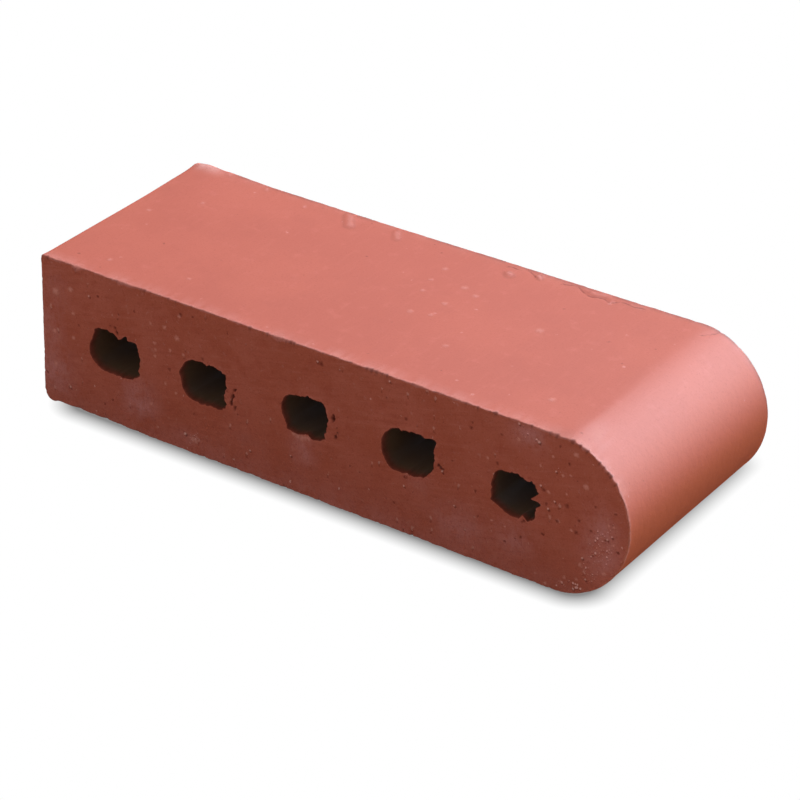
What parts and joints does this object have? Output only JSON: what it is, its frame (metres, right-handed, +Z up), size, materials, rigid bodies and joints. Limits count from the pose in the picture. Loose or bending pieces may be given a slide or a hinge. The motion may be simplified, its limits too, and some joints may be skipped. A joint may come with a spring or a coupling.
{
  "type": "bullnose coping brick",
  "caption": "Red fired clay coping brick with a square end, a full rounded nose at the other end and a row of cores through its wire-cut faces.",
  "frame": {"origin": "middle of the bed's outline on the resting plane", "axes": "+X along the length towards the rounded nose, +Y along the cores, +Z up from bed to top"},
  "size_m": [0.237, 0.092, 0.057],
  "materials": {
    "fired_clay": "matt fired red clay: smooth die skin on top, bed, nose and end, rougher wire-cut sides"
  },
  "bodies": {
    "root": {"clay_brick": "fired_clay"}
  },
  "joints": []
}
